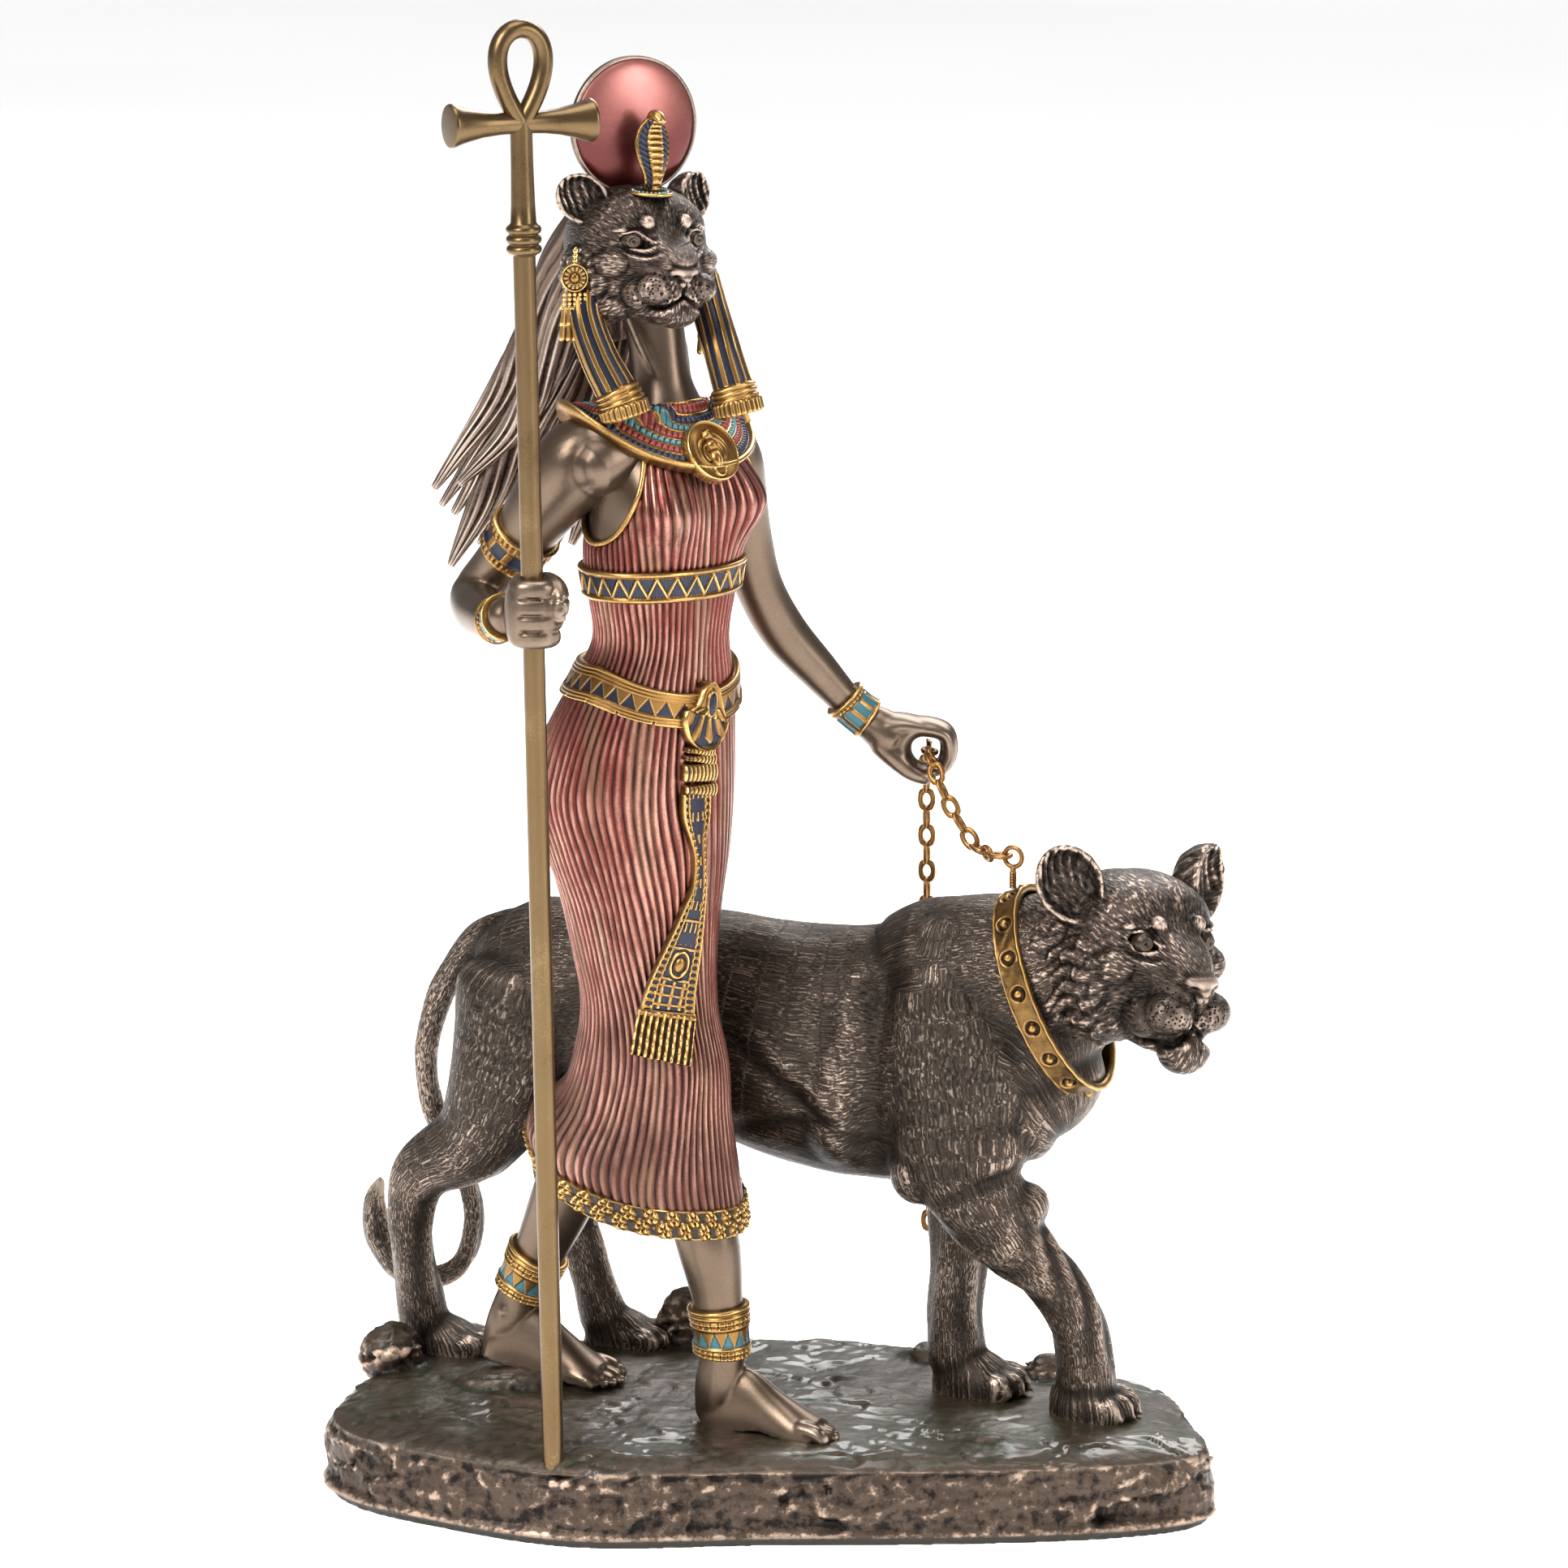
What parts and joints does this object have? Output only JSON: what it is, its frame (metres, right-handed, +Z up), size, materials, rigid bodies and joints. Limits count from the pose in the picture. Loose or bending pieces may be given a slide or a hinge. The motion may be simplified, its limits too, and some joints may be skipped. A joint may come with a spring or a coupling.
{
  "type": "egyptian goddess statuette",
  "caption": "Lioness-headed goddess with sun disk and ankh staff, walking a collared lioness on a chain leash over a rock base.",
  "frame": {"origin": "middle of the rock base's flat underside", "axes": "+X towards the lioness's head, +Y away from the side seen in the picture, +Z up along the goddess and her staff"},
  "size_m": [0.1761, 0.0933, 0.2885],
  "materials": {
    "rock_bronze": "satin dark bronze",
    "figure_bronze": "satin bronze with red, blue, turquoise and gold painting",
    "lioness_bronze": "dark rubbed bronze",
    "staff_brass": "antique brass",
    "eye_brass": "bright brass wire",
    "chain_brass": "antique brass wire"
  },
  "bodies": {
    "root": {"rock_base": "rock_bronze", "goddess_figure": "figure_bronze", "lioness": "lioness_bronze", "ankh_staff": "staff_brass", "screw_eye": "eye_brass", "leash_chain": "chain_brass"}
  },
  "joints": []
}
